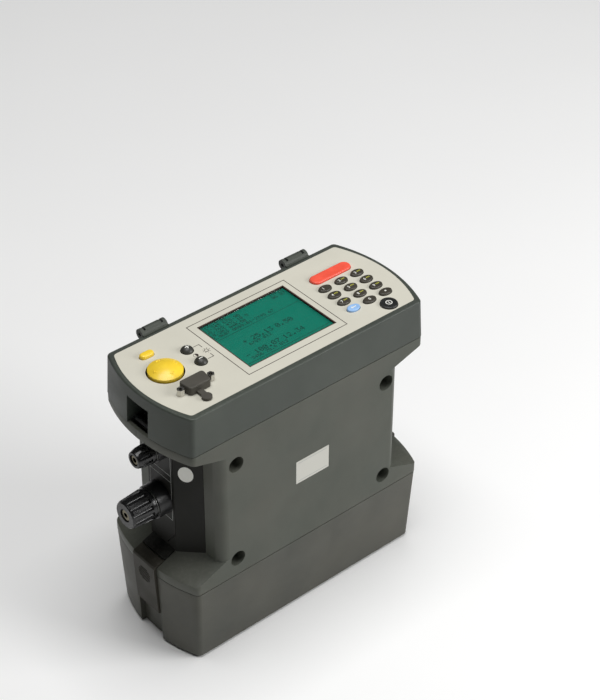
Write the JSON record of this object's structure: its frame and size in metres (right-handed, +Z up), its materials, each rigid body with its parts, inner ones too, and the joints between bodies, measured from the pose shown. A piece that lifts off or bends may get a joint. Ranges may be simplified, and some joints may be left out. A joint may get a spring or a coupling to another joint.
{
  "type": "insulation resistance tester",
  "caption": "Portable resistance tester with display, keypad, rocking paddle and screw posts at its ends, standing on a latched battery module.",
  "frame": {"origin": "bottom centre of the whole object's box, on the plane the feet stand on", "axes": "+X along the long side, towards the keypad end; -Y is the front face with the four deep screw holes; +Z up"},
  "size_m": [0.252, 0.1, 0.2266],
  "materials": {
    "casing_dark_grey": "fine moulded texture",
    "cover_dark_grey": "fine moulded texture, slightly cooler",
    "facia_print": "printed polyester label",
    "window_clear": "clear acrylic pane",
    "display_teal": "liquid-crystal glass",
    "inner_plastic": "moulded",
    "board_green": "printed circuit board",
    "black_gloss": "polished",
    "key_brown": "silicone rubber",
    "key_blue": "silicone rubber",
    "red_rubber": "silicone rubber",
    "yellow_rubber": "silicone rubber",
    "feet_rubber": "moulded rubber",
    "stud_brass": "nickel plated brass",
    "steel_bright": "turned and plated",
    "steel_dark": "black oxide",
    "sink_aluminium": "extruded",
    "cell_jacket": "metal cans in a plastic sleeve"
  },
  "bodies": {
    "battery_module": {"battery_case": "casing_dark_grey", "battery_lid": "inner_plastic", "battery_cells": "cell_jacket", "battery_contacts": "inner_plastic", "charge_inlet": "inner_plastic", "rubber_feet": "feet_rubber", "battery_lid_screws": "steel_dark"},
    "instrument": {"front_shell": "casing_dark_grey", "rear_shell": "casing_dark_grey", "left_end_panel": "casing_dark_grey", "right_end_panel": "casing_dark_grey", "terminal_plates": "black_gloss", "post_bushes": "black_gloss", "post_studs": "stud_brass", "latch_pins": "steel_bright", "strap_bars": "steel_bright", "case_screws": "steel_dark", "top_cover": "cover_dark_grey", "facia_label": "facia_print", "display_window": "window_clear", "display_module": "display_teal", "key_mat": "feet_rubber", "key_board": "board_green", "main_board": "board_green", "heat_sink": "sink_aluminium", "spring_contacts": "inner_plastic", "hinge_clips": "casing_dark_grey", "paddle_socket": "inner_plastic", "serial_connector": "steel_bright", "jack_screws": "steel_bright"},
    "backlight_button": {"backlight_button": "black_gloss"},
    "contrast_button": {"contrast_button": "black_gloss"},
    "dust_cap": {"dust_cap": "key_brown"},
    "key_0": {"key_0": "key_brown"},
    "key_1": {"key_1": "key_brown"},
    "key_2": {"key_2": "key_brown"},
    "key_3": {"key_3": "key_brown"},
    "key_4": {"key_4": "key_brown"},
    "key_5": {"key_5": "key_brown"},
    "key_6": {"key_6": "key_brown"},
    "key_7": {"key_7": "key_brown"},
    "key_8": {"key_8": "key_brown"},
    "key_9": {"key_9": "key_brown"},
    "key_clear": {"key_clear": "key_blue"},
    "key_point": {"key_point": "key_brown"},
    "left_current_knob": {"left_current_knob": "black_gloss"},
    "left_current_washer": {"left_current_washer": "steel_bright"},
    "left_latch": {"left_latch": "casing_dark_grey"},
    "left_potential_knob": {"left_potential_knob": "black_gloss"},
    "left_potential_washer": {"left_potential_washer": "steel_bright"},
    "paddle": {"paddle": "yellow_rubber"},
    "paddle_gimbal": {"paddle_gimbal": "inner_plastic"},
    "power_button": {"power_button": "black_gloss"},
    "right_current_knob": {"right_current_knob": "black_gloss"},
    "right_current_washer": {"right_current_washer": "steel_bright"},
    "right_latch": {"right_latch": "casing_dark_grey"},
    "right_potential_knob": {"right_potential_knob": "black_gloss"},
    "right_potential_washer": {"right_potential_washer": "steel_bright"},
    "select_button": {"select_button": "yellow_rubber"},
    "test_button": {"test_button": "red_rubber"}
  },
  "joints": [
    {"name": "lift_off", "type": "slide", "parent": "battery_module", "child": "instrument", "axis": [0, 0, 1], "range_m": [0, 0.025]},
    {"name": "left_latch_swing", "type": "hinge", "parent": "instrument", "child": "left_latch", "pos_m": [-0.1074, -0.003, 0.069], "axis": [0, 1, 0], "range_deg": [0, 45]},
    {"name": "right_latch_swing", "type": "hinge", "parent": "instrument", "child": "right_latch", "pos_m": [0.1074, -0.003, 0.069], "axis": [0, -1, 0], "range_deg": [0, 45]},
    {"name": "key_1_press", "type": "slide", "parent": "instrument", "child": "key_1", "axis": [0, 0, -1], "range_m": [0, 0.0009], "stiffness_N_per_m": 400},
    {"name": "key_2_press", "type": "slide", "parent": "instrument", "child": "key_2", "axis": [0, 0, -1], "range_m": [0, 0.0009], "stiffness_N_per_m": 400},
    {"name": "key_3_press", "type": "slide", "parent": "instrument", "child": "key_3", "axis": [0, 0, -1], "range_m": [0, 0.0009], "stiffness_N_per_m": 400},
    {"name": "key_4_press", "type": "slide", "parent": "instrument", "child": "key_4", "axis": [0, 0, -1], "range_m": [0, 0.0009], "stiffness_N_per_m": 400},
    {"name": "key_5_press", "type": "slide", "parent": "instrument", "child": "key_5", "axis": [0, 0, -1], "range_m": [0, 0.0009], "stiffness_N_per_m": 400},
    {"name": "key_6_press", "type": "slide", "parent": "instrument", "child": "key_6", "axis": [0, 0, -1], "range_m": [0, 0.0009], "stiffness_N_per_m": 400},
    {"name": "key_7_press", "type": "slide", "parent": "instrument", "child": "key_7", "axis": [0, 0, -1], "range_m": [0, 0.0009], "stiffness_N_per_m": 400},
    {"name": "key_8_press", "type": "slide", "parent": "instrument", "child": "key_8", "axis": [0, 0, -1], "range_m": [0, 0.0009], "stiffness_N_per_m": 400},
    {"name": "key_9_press", "type": "slide", "parent": "instrument", "child": "key_9", "axis": [0, 0, -1], "range_m": [0, 0.0009], "stiffness_N_per_m": 400},
    {"name": "key_0_press", "type": "slide", "parent": "instrument", "child": "key_0", "axis": [0, 0, -1], "range_m": [0, 0.0009], "stiffness_N_per_m": 400},
    {"name": "key_point_press", "type": "slide", "parent": "instrument", "child": "key_point", "axis": [0, 0, -1], "range_m": [0, 0.0009], "stiffness_N_per_m": 400},
    {"name": "key_clear_press", "type": "slide", "parent": "instrument", "child": "key_clear", "axis": [0, 0, -1], "range_m": [0, 0.0009], "stiffness_N_per_m": 400},
    {"name": "test_button_press", "type": "slide", "parent": "instrument", "child": "test_button", "axis": [0, 0, -1], "range_m": [0, 0.0009], "stiffness_N_per_m": 400},
    {"name": "power_button_press", "type": "slide", "parent": "instrument", "child": "power_button", "axis": [0, 0, -1], "range_m": [0, 0.0009], "stiffness_N_per_m": 400},
    {"name": "select_button_press", "type": "slide", "parent": "instrument", "child": "select_button", "axis": [0, 0, -1], "range_m": [0, 0.0009], "stiffness_N_per_m": 400},
    {"name": "contrast_button_press", "type": "slide", "parent": "instrument", "child": "contrast_button", "axis": [0, 0, -1], "range_m": [0, 0.0009], "stiffness_N_per_m": 400},
    {"name": "backlight_button_press", "type": "slide", "parent": "instrument", "child": "backlight_button", "axis": [0, 0, -1], "range_m": [0, 0.0009], "stiffness_N_per_m": 400},
    {"name": "paddle_rock_front_back", "type": "hinge", "parent": "instrument", "child": "paddle_gimbal", "pos_m": [-0.0826, 0.0025, 0.2125], "axis": [1, 0, 0], "range_deg": [-5, 5], "stiffness_Nm_per_rad": 0.15},
    {"name": "paddle_rock_sideways", "type": "hinge", "parent": "paddle_gimbal", "child": "paddle", "pos_m": [-0.0826, 0.0025, 0.2125], "axis": [0, 1, 0], "range_deg": [-5, 5], "stiffness_Nm_per_rad": 0.15},
    {"name": "dust_cap_off", "type": "slide", "parent": "instrument", "child": "dust_cap", "axis": [0, 0, 1], "range_m": [0, 0.012]},
    {"name": "left_current_washer_slide", "type": "slide", "parent": "instrument", "child": "left_current_washer", "axis": [-1, 0, 0], "range_m": [0, 0.005]},
    {"name": "left_current_knob_turn", "type": "hinge", "parent": "left_current_washer", "child": "left_current_knob", "pos_m": [-0.112, -0.003, 0.1213], "axis": [-1, 0, 0], "range_deg": [0, 1441]},
    {"name": "left_potential_washer_slide", "type": "slide", "parent": "instrument", "child": "left_potential_washer", "axis": [-1, 0, 0], "range_m": [0, 0.004]},
    {"name": "left_potential_knob_turn", "type": "hinge", "parent": "left_potential_washer", "child": "left_potential_knob", "pos_m": [-0.108, -0.003, 0.1648], "axis": [-1, 0, 0], "range_deg": [0, 1441]},
    {"name": "right_current_washer_slide", "type": "slide", "parent": "instrument", "child": "right_current_washer", "axis": [1, 0, 0], "range_m": [0, 0.005]},
    {"name": "right_current_knob_turn", "type": "hinge", "parent": "right_current_washer", "child": "right_current_knob", "pos_m": [0.112, -0.003, 0.1585], "axis": [1, 0, 0], "range_deg": [0, 1441]},
    {"name": "right_potential_washer_slide", "type": "slide", "parent": "instrument", "child": "right_potential_washer", "axis": [1, 0, 0], "range_m": [0, 0.004]},
    {"name": "right_potential_knob_turn", "type": "hinge", "parent": "right_potential_washer", "child": "right_potential_knob", "pos_m": [0.108, -0.003, 0.1213], "axis": [1, 0, 0], "range_deg": [0, 1441]}
  ],
  "couplings": [
    {"joint": "left_latch_swing", "follows": "lift_off", "rad_per_m": 31.4},
    {"joint": "right_latch_swing", "follows": "lift_off", "rad_per_m": 31.4},
    {"joint": "left_current_knob_turn", "follows": "left_current_washer_slide", "rad_per_m": 5026},
    {"joint": "left_potential_knob_turn", "follows": "left_potential_washer_slide", "rad_per_m": 6283},
    {"joint": "right_current_knob_turn", "follows": "right_current_washer_slide", "rad_per_m": 5026},
    {"joint": "right_potential_knob_turn", "follows": "right_potential_washer_slide", "rad_per_m": 6283}
  ]
}
